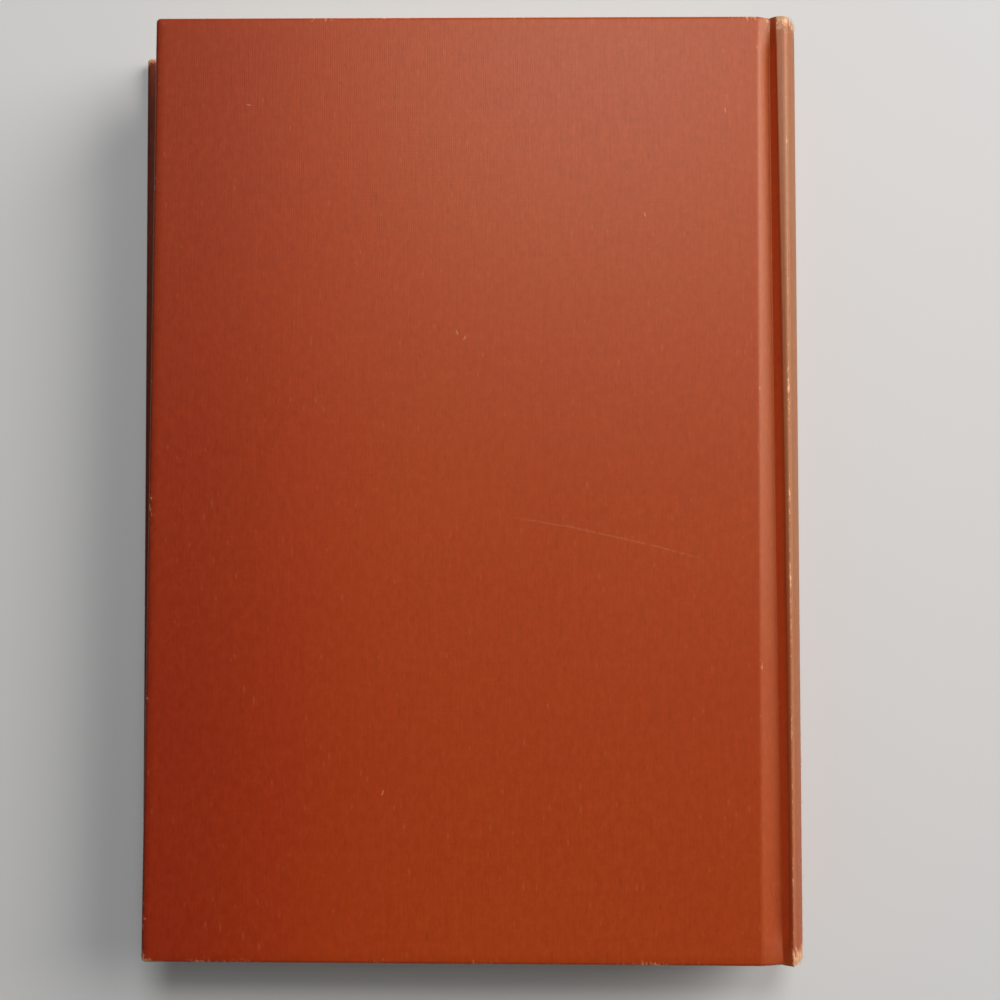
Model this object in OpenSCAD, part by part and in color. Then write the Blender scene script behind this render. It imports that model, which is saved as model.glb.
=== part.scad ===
// Hardback book in a cloth case binding, closed and lying on its front cover.
// X runs from the fore edges to the spine, Y from the tail to the head, and Z from the front cover up to the back one.
// The origin is the middle of the front cover's outer face. Every section is drawn in X and Z and runs along Y.

/* [Leaves] */
// Height of the trimmed leaves, from tail to head
leaf_h = 203.2; // [150:0.1:300]
// Width of the trimmed leaves, from fore edge to spine fold
leaf_w = 139.7; // [100:0.1:220]
// Thickness of all the sewn leaves together
leaves_t = 18; // [12:0.5:40]
// Number of folded sections that the leaves are sewn from
sections = 18; // [6:1:30]
// Depth of the notch between two sections at their folds
fold_notch = 0.2; // [0.1:0.05:0.3]

/* [Case] */
// Overhang of the covers past the leaves at head and tail
square = 3.2; // [2:0.1:6]
// Overhang of the front cover past the leaves at the fore edge
fore_square = 5.5; // [4:0.1:8]
// Thickness of the binder's boards
board_t = 2.4; // [1.8:0.1:4]
// Thickness of the book cloth
cloth_t = 0.35; // [0.25:0.05:0.5]
// Width of cloth turned in round the inside of the case
turn_in = 15; // [10:0.5:20]
// Radius of the covers' corners, seen from above
corner_r = 1.6; // [1:0.1:4]
// Radius of the cloth where it wraps a board's edge
edge_r = 0.8; // [0.6:0.05:1.1]
// Width of the slit where two turn-ins meet at a corner
mitre_w = 0.2; // [0.1:0.05:0.4]

/* [Joints and spine] */
// Width of a joint, from the board to the spine's ridge
joint_w = 6.2; // [6:0.1:7.5]
// Width of the slope that falls from the board into the groove
slope_w = 2.9; // [2.5:0.1:3]
// Width of the groove's floor
groove_w = 0.8; // [0.8:0.1:1]
// Width of the groove's wall on the spine's side
wall_w = 1.5; // [1.2:0.1:1.5]
// Drop from the cover's face to the top of that wall
wall_drop = 0.9; // [0.8:0.1:1]
// Height of the spine's arc over the line between its two ridges
spine_round = 7.4; // [5:0.1:7.5]
// Thickness of the card that stiffens the spine
inlay_t = 0.5; // [0.3:0.05:0.8]
// Clearance between the hollow back and the lined leaves
hollow = 0.1; // [0.1:0.05:0.5]

/* [Linings and endpapers] */
// Thickness of the endpapers
paper_t = 0.2; // [0.15:0.05:0.3]
// Width of turned-in cloth left bare round a pastedown
margin = 3.5; // [2:0.1:6]
// Thickness of the gauze glued over the folds
mull_t = 0.25; // [0.2:0.05:0.3]
// Distance by which the gauze stops short of the leaves at head and tail
mull_short = 13; // [12.5:0.5:25]
// Width of gauze glued down on each board
mull_wing = 25; // [15:1:40]
// Thickness of the paper lining over the gauze
lining_t = 0.2; // [0.15:0.05:0.3]

/* [Endbands] */
// Radius of the bead that shows at head and tail
bead_r = 0.8; // [0.6:0.05:1.1]
// Length of the endband's cloth tab under the lining
tab_l = 9; // [5:0.5:11]

/* [Leaning] */
// Shift of the back cover towards the spine, because the read book leans
lean = 7.6; // [4:0.1:8]
// How much further the front cover stands out at the head than at half height
splay = 1.1; // [0:0.1:1.5]

/* [Hidden] */

cloth_red = [0.65, 0.26, 0.14];
cloth_faded = [0.66, 0.42, 0.29];
board_grey = [0.55, 0.5, 0.42];
paper_cream = [0.9, 0.85, 0.73];
gauze_white = [0.86, 0.83, 0.74];
band_yellow = [0.85, 0.7, 0.35];

fine = 96;
// Steps in each small round corner of a section
corner_steps = 5;
// Length by which a cutting tool runs past what it cuts
past = 5;
// Distance outside an edge at which a round paring of it starts
paring_start = 0.02;

cover_h = leaf_h + 2 * square;
cover_t = 2 * cloth_t + board_t + paper_t;
book_t = 2 * (cover_t + paper_t) + leaves_t;
leaves_low = cover_t + paper_t;
leaves_high = book_t - leaves_low;

// Run of cloth from a ridge's corner to where it meets the spine's arc, and the run before a board's edge rounds over
ridge_run = 1.3;
board_run = 0.5;
// Run of cloth that each rounded corner of a joint takes up, from the board to the ridge
board_bend = 0.45;
groove_bend = 0.35;
wall_bend = 0.45;
ridge_bend = 0.8;
// Distance from a ridge to the edges of the card and the linings
card_inset = 0.5;
// Thickness of the glue round the spine's card and between the paper lining and the gauze
glue_t = 0.01;
// Distance from a ridge to the ends of the endbands
band_inset = 1.6;

// Stack of layers under the cloth's outer face, in the joints and round the spine
turned_in = 2 * cloth_t;
hinge_paper = turned_in + paper_t;
over_leaves = hinge_paper + paper_t;
under_inlay = cloth_t + inlay_t;
over_lining = under_inlay + cloth_t + hollow;
over_mull = over_lining + lining_t + glue_t;
over_folds = over_mull + mull_t;

// The spine's arc goes through both ridges. Its line between them slopes, because the book leans.
ridge_rise = book_t;
ridge_gap = norm([lean, ridge_rise]);
spine_r = (pow(ridge_gap / 2, 2) + pow(spine_round, 2)) / (2 * spine_round);
out = [ridge_rise, -lean] / ridge_gap;
// The arc's centre, measured from the front joint's board edge
arc_from_joint = [joint_w + lean / 2, ridge_rise / 2] - (spine_r - spine_round) * out;
folds_r = spine_r - over_folds;
fold_from_joint = arc_from_joint[0] + sqrt(pow(folds_r, 2) - pow(leaves_low - arc_from_joint[1], 2));

cover_w = leaf_w + fore_square - fold_from_joint;
front_joint = cover_w / 2;
back_joint = front_joint + lean;
arc = [front_joint + arc_from_joint[0], arc_from_joint[1]];
half_gap_angle = asin(ridge_gap / 2 / spine_r);
lean_angle = atan2(-lean, ridge_rise);
trim = ridge_run / spine_r * 180 / PI;
low_angle = lean_angle - half_gap_angle + trim;
high_angle = lean_angle + half_gap_angle - trim;
card_trim = card_inset / spine_r * 180 / PI;
low_card = low_angle + card_trim;
high_card = high_angle - card_trim;
glue_turn = glue_t / spine_r * 180 / PI;
band_trim = band_inset / spine_r * 180 / PI;
low_band = low_angle + band_trim;
high_band = high_angle - band_trim;
far_left = front_joint - 1.5 * leaf_w;

// Plane geometry

function unit(v) = v / norm(v);
function quarter_turn(v) = [-v[1], v[0]];
function spun(v, a) = [v[0] * cos(a) - v[1] * sin(a), v[0] * sin(a) + v[1] * cos(a)];
function reversed(list) = [for (i = [len(list) - 1:-1:0]) list[i]];
function on_arc(r, a) = arc + r * [cos(a), sin(a)];

// Points of the round stretch that takes the place of corner b, and of a length of each line next to it
function bend(a, b, c, length) =
    let (u = unit(a - b), v = unit(c - b), half = acos(u * v) / 2)
    let (centre = b + unit(u + v) * length / cos(half), start = b + u * length - centre)
    let (sweep = (180 - 2 * half) * sign(cross(b - a, c - b)))
    [for (i = [0:corner_steps]) centre + spun(start, sweep * i / corner_steps)];

// A closed outline whose corners are rounded, each by its own length
function rounded(points, lengths) =
    let (n = len(points))
    [
        for (i = [0:n - 1])
            each lengths[i] == 0
                ? [points[i]]
                : bend(points[(i + n - 1) % n], points[i], points[(i + 1) % n], lengths[i])
    ];

// A line moved to its left by d, with mitred corners
function moved(path, d) =
    let (last = len(path) - 1)
    let (normals = [for (i = [0:last - 1]) quarter_turn(unit(path[i + 1] - path[i]))])
    [
        for (i = [0:last])
            let (a = normals[max(i - 1, 0)], b = normals[min(i, last - 1)])
            path[i] + d * (a + b) / (1 + a * b)
    ];

// The closed outline of a sheet that lies between depths d0 and d1 under a line
function sheet(path, side, d0, d1) =
    concat(moved(path, -side * d0), reversed(moved(path, -side * d1)));

// Sections. A side is 1 for the back cover's joint, on top, and -1 for the front cover's joint.

function level(side, drop) = side > 0 ? book_t - drop : drop;
function board_end(side) = side > 0 ? back_joint : front_joint;
function arc_end(side) = side > 0 ? high_angle : low_angle;
function ridge(side) =
    let (a = arc_end(side))
    on_arc(spine_r, a) + side * ridge_run * [-sin(a), cos(a)];
function groove_start(side) = [board_end(side) + slope_w, level(side, board_t)];
function groove_end(side) = groove_start(side) + [groove_w, 0];
function wall_top(side) = [groove_end(side)[0] + wall_w, level(side, wall_drop)];

// The cloth's outer face from the board, through the groove and over the ridge, to the spine's arc
function joint_path(side) = rounded(
    [
        [board_end(side), level(side, 0)],
        [board_end(side) + board_run, level(side, 0)],
        groove_start(side),
        groove_end(side),
        wall_top(side),
        ridge(side),
        on_arc(spine_r, arc_end(side))
    ],
    [0, board_bend, groove_bend, groove_bend, wall_bend, ridge_bend, 0]
);

// The groove's floor carried to the left, and up the backed leaves' shoulder on the right
function shoulder_path(side, left) = concat(
    [[left, level(side, board_t)], groove_end(side)],
    bend(groove_end(side), wall_top(side), ridge(side), wall_bend),
    [ridge(side)]
);

// Everything between the two shoulders at a depth, from a place on the left to past the spine
function between_shoulders(front_left, back_left, depth) = concat(
    moved(shoulder_path(-1, front_left), depth),
    [on_arc(3 * spine_r, lean_angle)],
    reversed(moved(shoulder_path(1, back_left), -depth)),
    [[back_left, book_t / 2], [front_left, book_t / 2]]
);

// Extrudes a section in X and Z along Y, centred on the middle of the spine
module along_spine(length) {
    rotate([90, 0, 0]) linear_extrude(length, center = true) children();
}

// Keeps what lies inside a radius of the spine's arc
module inside_arc(r) {
    intersection() {
        children();
        union() {
            translate(arc) circle(r, $fn = fine);
            translate([far_left, -past]) square([arc[0] - far_left, book_t + 2 * past]);
        }
    }
}

// Cuts the hollow fore edge, which has the spine's own arc
module trim_fore_edge() {
    difference() {
        children();
        translate([arc[0] - leaf_w, arc[1]]) circle(folds_r, $fn = fine);
        translate([far_left - past, -past]) square([arc[0] - leaf_w - far_left + past, book_t + 2 * past]);
    }
}

// Turns a profile, drawn in radius and Y, round the spine's arc
module round_spine(from, to) {
    translate([arc[0], 0, arc[1]]) rotate([90, -from, 0]) rotate_extrude(angle = to - from, $fn = fine)
        children();
}

// Leaves, endpapers and linings

module leaves() {
    section_angle = (high_angle - low_angle) / sections;
    color(paper_cream)
        along_spine(leaf_h)
            difference() {
                trim_fore_edge() inside_arc(folds_r) polygon(between_shoulders(far_left, far_left, over_leaves));
                for (i = [1:sections - 1])
                    translate(on_arc(folds_r, low_angle + i * section_angle))
                        rotate(low_angle + i * section_angle + 45)
                            square(fold_notch * sqrt(2), center = true);
            }
}

// The free endpaper with its fold, and the strip that runs back through the joint to the board
module flyleaf(side) {
    color(paper_cream)
        along_spine(leaf_h)
            trim_fore_edge() inside_arc(folds_r) {
                polygon(sheet(shoulder_path(side, far_left), side, hinge_paper, over_leaves));
                polygon(sheet(shoulder_path(side, board_end(side)), side, turned_in, over_leaves));
            }
}

// Gauze over the folds and both shoulders, as far as the boards
module mull() {
    color(gauze_white)
        along_spine(leaf_h - 2 * mull_short)
            difference() {
                inside_arc(spine_r - over_mull)
                    polygon(between_shoulders(front_joint, back_joint, turned_in - mull_t));
                inside_arc(folds_r) polygon(between_shoulders(far_left, far_left, turned_in));
            }
}

module spine_lining() {
    color(paper_cream)
        round_spine(low_card, high_card)
            translate([spine_r - over_lining - lining_t, -leaf_h / 2]) square([lining_t, leaf_h]);
}

// A bead on the leaves' end with a cloth tab, which is glued to the folds beside the gauze
module endband(end) {
    color(band_yellow)
        round_spine(low_band, high_band)
            scale([1, -end]) {
                translate([folds_r + mull_t - bead_r, leaf_h / 2 + bead_r]) circle(bead_r, $fn = 32);
                translate([folds_r, leaf_h / 2 - tab_l]) square([mull_t, tab_l + bead_r]);
            }
}

// Case

module spine_inlay() {
    color(board_grey)
        round_spine(low_card + glue_turn, high_card - glue_turn)
            translate([spine_r - under_inlay + glue_t, cloth_t + glue_t - cover_h / 2])
                square([inlay_t - 2 * glue_t, cover_h - 2 * (cloth_t + glue_t)]);
}

// The cloth round the inlay, folded over the card at head and tail and closed down past the card's long edges
module spine_cloth() {
    color(cloth_faded) {
        round_spine(low_angle, high_angle)
            difference() {
                translate([spine_r - under_inlay - cloth_t, -cover_h / 2])
                    square([under_inlay + cloth_t, cover_h]);
                translate([spine_r - under_inlay, cloth_t - cover_h / 2])
                    square([inlay_t, cover_h - 2 * cloth_t]);
                translate([spine_r - under_inlay - 2 * cloth_t, turn_in - cover_h / 2])
                    square([inlay_t + 2 * cloth_t, cover_h - 2 * turn_in]);
            }
        for (edge = [[low_angle, low_card], [high_card, high_angle]], end = [-1, 1])
            round_spine(edge[0], edge[1])
                translate([spine_r - under_inlay - cloth_t / 2, end * (cover_h - turn_in) / 2 - turn_in / 2 + cloth_t / 2])
                    square([inlay_t + cloth_t, turn_in - cloth_t]);
    }
}

// The cloth of one joint, double where it's turned in at head and tail
module joint_cloth(side) {
    color(cloth_red) {
        along_spine(cover_h) polygon(sheet(joint_path(side), side, 0, cloth_t));
        for (end = [-1, 1])
            translate([0, end * (cover_h - turn_in) / 2, 0])
                along_spine(turn_in) polygon(sheet(joint_path(side), side, 0, turned_in));
    }
}

// One cover, lying on its outer face with its joint on the right. A front cover's fore edge splays.

// The fore edge's place at a height, moved in from the edge
function fore_edge(y, splay, inset) = inset - cover_w / 2 - splay * y / (cover_h / 2);

// The cover's outline seen from above, smaller all round by an inset apart from its joint's side
function plan(splay, inset, joint_side) =
    let (y = cover_h / 2 - inset)
    [[joint_side, -y], [joint_side, y], [fore_edge(y, splay, inset), y], [fore_edge(-y, splay, inset), -y]];

// What is pared away along a slab's edge at a height, where side 1 is the slab's top and -1 its bottom
module pared_edge(side, height, r) {
    translate([-paring_start, height + side * paring_start])
        scale([1, -side])
            polygon(concat(
                bend([past, 0], [0, 0], [0, past], r),
                [[-past, r], [-past, -past], [r, -past]]
            ));
}

// A slab of the cover's outline with three rounded edges, square at its joint's side
module rounded_slab(splay, inset, joint_side, low, high) {
    r = edge_r - inset;
    run = joint_side + cover_w / 2 + past;
    corner = corner_r - inset;
    difference() {
        translate([0, 0, low])
            linear_extrude(high - low) polygon(rounded(plan(splay, inset, joint_side), [0, 0, corner, corner]));
        for (side = [-1, 1]) {
            height = side > 0 ? high : low;
            translate([fore_edge(0, splay, inset), 0, 0])
                rotate([0, 0, atan(splay / (cover_h / 2))])
                    along_spine(cover_h + 2 * past) pared_edge(side, height, r);
            for (end = [-1, 1])
                translate([-cover_w / 2 - past, end * (cover_h / 2 - inset), 0])
                    rotate([90, 0, 90])
                        linear_extrude(run + 2 * past)
                            scale([-end, 1]) pared_edge(side, height, r);
        }
    }
}

module board(splay) {
    color(board_grey) rounded_slab(splay, cloth_t, cover_w / 2, cloth_t, cloth_t + board_t);
}

// Cloth on the outer face, round three edges and turned in, with a slit at each mitred corner
module cover_cloth(splay) {
    inner_face = cloth_t + board_t;
    color(cloth_red)
        difference() {
            rounded_slab(splay, 0, cover_w / 2, 0, inner_face + cloth_t);
            rounded_slab(splay, cloth_t, cover_w / 2 + past, cloth_t, inner_face);
            translate([0, 0, inner_face - cloth_t])
                linear_extrude(3 * cloth_t) polygon(plan(splay, turn_in, cover_w / 2 + past));
            for (end = [-1, 1]) {
                inner = [fore_edge(end * (cover_h / 2 - turn_in), splay, turn_in), end * (cover_h / 2 - turn_in)];
                outer = [fore_edge(end * (cover_h / 2 - edge_r), splay, edge_r), end * (cover_h / 2 - edge_r)];
                run = outer - inner;
                translate([inner[0], inner[1], inner_face])
                    rotate([0, 0, atan2(run[1], run[0])])
                        translate([-mitre_w, -mitre_w / 2, 0])
                            cube([norm(run) + mitre_w, mitre_w, 2 * cloth_t]);
            }
        }
}

module mull_wing(splay) {
    color(gauze_white)
        translate([cover_w / 2 - mull_wing, mull_short - leaf_h / 2, cloth_t + board_t])
            cube([mull_wing, leaf_h - 2 * mull_short, mull_t]);
}

// What lies under a pastedown: the turned-in cloth and the gauze's wing, each grown by an amount
module under_pastedown(splay, grown) {
    face = cloth_t + board_t;
    translate([0, 0, face - past])
        difference() {
            linear_extrude(cloth_t + grown + past) polygon(plan(splay, -past, cover_w / 2 + past));
            translate([0, 0, -past])
                linear_extrude(cover_t + 4 * past) polygon(plan(splay, turn_in + grown, cover_w / 2 + 2 * past));
        }
    translate([cover_w / 2 - mull_wing - grown, mull_short - leaf_h / 2 - grown, face - past])
        cube([mull_wing + grown + past, leaf_h - 2 * mull_short + 2 * grown, mull_t + grown + past]);
}

// The pasted endpaper, which steps down from the turned-in cloth on to the board
module pastedown(splay) {
    face = cloth_t + board_t;
    color(paper_cream)
        difference() {
            intersection() {
                translate([0, 0, face]) linear_extrude(cover_t) polygon(plan(splay, margin, cover_w / 2));
                union() {
                    under_pastedown(splay, paper_t);
                    translate([0, 0, face]) linear_extrude(paper_t) polygon(plan(splay, margin, cover_w / 2));
                }
            }
            under_pastedown(splay, 0);
        }
}

// Puts a cover on the leaves as the back one
module as_back_cover() {
    translate([lean, 0, book_t]) mirror([0, 0, 1]) children();
}

leaves();
flyleaf(-1);  // front_flyleaf
flyleaf(1);  // back_flyleaf
mull();
spine_lining();
endband(1);  // head_band
endband(-1);  // tail_band
spine_inlay();
spine_cloth();
joint_cloth(-1);  // front_joint_cloth
joint_cloth(1);  // back_joint_cloth
as_back_cover() board(0);  // back_board
as_back_cover() cover_cloth(0);  // back_cover_cloth
as_back_cover() mull_wing(0);  // back_mull_wing
as_back_cover() pastedown(0);  // back_pastedown
board(splay);  // front_board
cover_cloth(splay);  // front_cover_cloth
mull_wing(splay);  // front_mull_wing
pastedown(splay);  // front_pastedown
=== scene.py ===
"""A cloth-bound hardback book that lies closed on its front cover, with its spine to the right."""
import functools
import math

import bpy
import numpy as np
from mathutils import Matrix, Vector


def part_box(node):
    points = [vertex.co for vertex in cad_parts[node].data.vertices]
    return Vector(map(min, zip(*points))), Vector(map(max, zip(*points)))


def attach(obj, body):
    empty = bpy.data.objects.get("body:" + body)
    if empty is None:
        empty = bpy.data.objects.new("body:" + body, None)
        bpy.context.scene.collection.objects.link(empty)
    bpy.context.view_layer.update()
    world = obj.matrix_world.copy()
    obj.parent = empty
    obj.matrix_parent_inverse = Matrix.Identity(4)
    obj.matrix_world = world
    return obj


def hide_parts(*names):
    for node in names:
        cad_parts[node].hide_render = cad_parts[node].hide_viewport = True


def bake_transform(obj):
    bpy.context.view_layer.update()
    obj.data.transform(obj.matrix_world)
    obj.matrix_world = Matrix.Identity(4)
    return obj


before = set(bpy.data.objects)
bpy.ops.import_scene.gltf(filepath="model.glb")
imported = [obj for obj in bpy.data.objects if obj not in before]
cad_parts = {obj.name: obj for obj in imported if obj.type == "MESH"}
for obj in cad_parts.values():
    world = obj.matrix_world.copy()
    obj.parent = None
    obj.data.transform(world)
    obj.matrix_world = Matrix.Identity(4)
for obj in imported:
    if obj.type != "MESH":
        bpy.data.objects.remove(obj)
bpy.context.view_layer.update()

MM = 0.001

# Sizes of the binding, as in the part
CLOTH_T = 0.35 * MM
BOARD_T = 2.4 * MM
PAPER_T = 0.2 * MM
GAUZE_T = 0.25 * MM
TURN_IN = 15 * MM
MARGIN = 3.5 * MM
CORNER_R = 1 * MM
EDGE_R = 0.8 * MM
JOINT_W = 6.2 * MM
SLOPE_W = 2.9 * MM
GROOVE_W = 0.8 * MM
WALL_W = 1.5 * MM
WALL_DROP = 0.9 * MM
SPINE_ROUND = 7.4 * MM
INLAY_T = 0.5 * MM
HOLLOW = 0.1 * MM
LINING_T = 0.2 * MM
GLUE_T = 0.01 * MM
RIDGE_RUN = 1.3 * MM
BOARD_RUN = 0.5 * MM
JOINT_BENDS = [0.45 * MM, 0.35 * MM, 0.35 * MM, 0.45 * MM, 0.8 * MM]
SPLAY = 1.1 * MM
LEAF_H = 203.2 * MM
LEAF_W = 139.7 * MM
GAUZE_WING = 25 * MM
GAUZE_SHORT = 13 * MM
BEAD_R = 0.8 * MM
BAND_INSET = 1.6 * MM
SECTIONS = 18
LEAVES_IN_SECTION = 8

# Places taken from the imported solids
back_low, back_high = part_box("back_cover_cloth")
_, front_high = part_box("front_cover_cloth")
BOOK_T = back_high.z
END = {1: back_high.x, -1: front_high.x}
LEAN = END[1] - END[-1]
HALF_H = (back_high.y - back_low.y) / 2
TURNED_IN = 2 * CLOTH_T
COVER_T = BOARD_T + 2 * CLOTH_T
OVER_LEAVES = TURNED_IN + 2 * PAPER_T

# The spine's arc goes through both ridges, whose line slopes because the book leans
ridge_gap = math.hypot(LEAN, BOOK_T)
SPINE_R = ((ridge_gap / 2) ** 2 + SPINE_ROUND**2) / (2 * SPINE_ROUND)
outward = np.array([BOOK_T, -LEAN]) / ridge_gap
ARC = np.array([END[-1] + JOINT_W + LEAN / 2, BOOK_T / 2]) - (SPINE_R - SPINE_ROUND) * outward
lean_angle = math.atan2(-LEAN, BOOK_T)
half_gap_angle = math.asin(ridge_gap / 2 / SPINE_R)
ARC_END = {side: lean_angle + side * (half_gap_angle - RIDGE_RUN / SPINE_R) for side in (1, -1)}
FOLDS_R = SPINE_R - 2 * CLOTH_T - INLAY_T - HOLLOW - LINING_T - GLUE_T - GAUZE_T

# Rows and columns of points on the case's cloth, and how far inside the edges they stop
ROWS = 84
BOARD_COLUMNS = 40
GRID_INSET = 2.5 * MM
# Steps of the cloth round each side of an edge, steps round a corner, and the rows of the turn-in
WRAP_STEPS = 4
CORNER_STEPS = 6
INNER_INSETS = [2.5 * MM, 6 * MM, 11 * MM, TURN_IN]
# Longest step along a layer under the joint, and rows of the sheets there
SECTION_STEP = 0.35 * MM
UPRIGHT_ROWS = 40
# Share of its place that a sheet of paper or gauze fills, so that it stays clear of the next one
UNDER_NEXT = 0.9


# Plane geometry, in X and Z. A side is 1 for the back cover, on top, and -1 for the front cover.


def on_arc(radius, angle):
    return ARC + radius * np.array([math.cos(angle), math.sin(angle)])


def angle_of(point):
    """The angle of a point as seen from the middle of the spine's arc."""
    return math.atan2(point[1] - ARC[1], point[0] - ARC[0])


def level(side, drop):
    return BOOK_T - drop if side > 0 else drop


def unit(v):
    return v / np.linalg.norm(v)


def smooth_step(low, high, value):
    t = np.clip((value - low) / (high - low), 0, 1)
    return t * t * (3 - 2 * t)


def bend(a, b, c, length, steps):
    """Points of the round stretch that takes the place of corner b and a length of each line beside it."""
    u, v = unit(a - b), unit(c - b)
    half = math.acos(np.clip(u @ v, -1, 1)) / 2
    centre = b + unit(u + v) * length / math.cos(half)
    start = b + u * length - centre
    turn_left = (b - a)[0] * (c - b)[1] - (b - a)[1] * (c - b)[0]
    sweep = math.copysign(math.pi - 2 * half, turn_left)
    points = []
    for i in range(steps + 1):
        turn = sweep * i / steps
        x = start[0] * math.cos(turn) - start[1] * math.sin(turn)
        z = start[0] * math.sin(turn) + start[1] * math.cos(turn)
        points.append(centre + np.array([x, z]))
    return points


def moved(path, distance):
    """A line moved to its left, with mitred corners."""
    normals = []
    for a, b in zip(path, path[1:]):
        along = unit(b - a)
        normals.append(np.array([-along[1], along[0]]))
    result = []
    for i, point in enumerate(path):
        a = normals[max(i - 1, 0)]
        b = normals[min(i, len(normals) - 1)]
        result.append(point + distance * (a + b) / (1 + a @ b))
    return result


def resampled(points, step):
    """The same line with points at most a step apart."""
    dense = [points[0]]
    for a, b in zip(points, points[1:]):
        count = max(1, math.ceil(np.linalg.norm(b - a) / step))
        dense += [a + (b - a) * i / count for i in range(1, count + 1)]
    return dense


def run_lengths(points):
    """How far along the line each point is."""
    return np.concatenate([[0], np.cumsum([np.linalg.norm(b - a) for a, b in zip(points, points[1:])])])


# The upper joint as the used book has it, in mm at the tail, at half height and at the head. It runs askew
# because the book has been read and leans. First come places past the board, then a width and a bend.
BOARD_EDGE = (-0.45, -0.15, 0.15)
GROOVE_START = (4.05, 3.35, 2.9)
WALL_TOP = (5.75, 5.25, 4.1)
GROOVE_FLOOR = (0.18, 0.2, 0.18)
WORN_RIDGE_BEND = (0.25, 0.45, 0.9)
WORN_BENDS = [0.6 * MM, 0.08 * MM, 0.07 * MM, 0.22 * MM]
WORN_WALL_DROP = 0.3 * MM
# Share of the groove's depth that is left in the used joint
WORN_DEPTH = 0.85
# Share of its depth that a groove loses at head and tail, between these distances from the end
END_LIFT = 0.5
LIFTED_FROM = 9 * MM
LIFTED_TO = 0.5 * MM
# Points on each straight stretch and each bend across a joint
STRAIGHT_STEPS = 4
BEND_STEPS = 6


def askew(values, y):
    """A length in metres at a height, from its values in mm at tail, middle and head."""
    t = (y / HALF_H + 1) / 2
    tail, middle, head = values
    return MM * (tail * (1 - t) * (1 - 2 * t) + 4 * middle * t * (1 - t) + head * t * (2 * t - 1))


def end_lift(y):
    """How far the groove has run out at a height near head or tail, from 0 to 1."""
    return float(smooth_step(HALF_H - LIFTED_FROM, HALF_H - LIFTED_TO, abs(y)))


def joint_corners(side, y=None):
    """Corners of the cloth's outer face, from the board's edge to the spine's arc. With a height, the used
    book's upper joint is drawn as it runs there."""
    end, angle = END[side], ARC_END[side]
    used = side > 0 and y is not None
    board_edge = end + (askew(BOARD_EDGE, y) if used else BOARD_RUN)
    depth = BOARD_T * (WORN_DEPTH if used else 1) * (1 - END_LIFT * (end_lift(y) if y is not None else 0))
    groove_start = np.array([end + (askew(GROOVE_START, y) if used else SLOPE_W), level(side, depth)])
    groove_end = groove_start + [askew(GROOVE_FLOOR, y) if used else GROOVE_W, 0]
    wall_top = np.array([groove_end[0] + WALL_W, level(side, WALL_DROP)])
    if used:
        wall_top = np.array([end + askew(WALL_TOP, y), level(side, WORN_WALL_DROP)])
    along = np.array([-math.sin(angle), math.cos(angle)])
    return [
        np.array([end - 2 * MM, level(side, 0)]),
        np.array([board_edge, level(side, 0)]),
        groove_start,
        groove_end,
        wall_top,
        on_arc(SPINE_R, angle) + side * RIDGE_RUN * along,
        on_arc(SPINE_R, angle),
    ]


def joint_path(side, y):
    """The cloth's outer face from the board to the spine's arc, and how many corners each point is past the
    first one. Every height gives the same number of points."""
    corners = joint_corners(side, y)
    lengths = WORN_BENDS + [askew(WORN_RIDGE_BEND, y)] if side > 0 else JOINT_BENDS
    points, stations = [corners[0]], [0]
    for i in range(1, len(corners)):
        last = i == len(corners) - 1
        turn = [corners[i]] if last else bend(*corners[i - 1:i + 2], lengths[i - 1], BEND_STEPS)
        start, reached = points[-1], stations[-1]
        until = i if last else i - 0.25
        for k in range(1, STRAIGHT_STEPS + 1):
            share = k / STRAIGHT_STEPS
            points.append(start + (turn[0] - start) * share)
            stations.append(reached + (until - reached) * share)
        points += turn[1:]
        stations += [i - 0.25 + 0.5 * k / BEND_STEPS for k in range(1, len(turn))]
    return points, stations


def shoulder_path(side, left, depth):
    """A layer under the joint's cloth, along the backed leaves' shoulder as far as their folds."""
    _, _, _, groove_end, wall_top, ridge, _ = joint_corners(side)
    path = [np.array([left, level(side, BOARD_T)]), groove_end]
    path += bend(groove_end, wall_top, ridge, JOINT_BENDS[3], BEND_STEPS)
    dense = resampled(moved(path + [ridge], -side * depth), SECTION_STEP)
    return [p for p in dense if p[0] < ARC[0] or np.linalg.norm(p - ARC) < FOLDS_R]


def fore_edge(side, y):
    """X of a cover's fore edge at a height."""
    return back_low.x if side > 0 else -END[-1] - SPLAY * y / HALF_H


def leaf_edge(z):
    """X of the leaves' trimmed fore edge, which has the spine's own hollow."""
    return ARC[0] - LEAF_W + math.sqrt(FOLDS_R**2 - (z - ARC[1]) ** 2)


# Sheets


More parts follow.
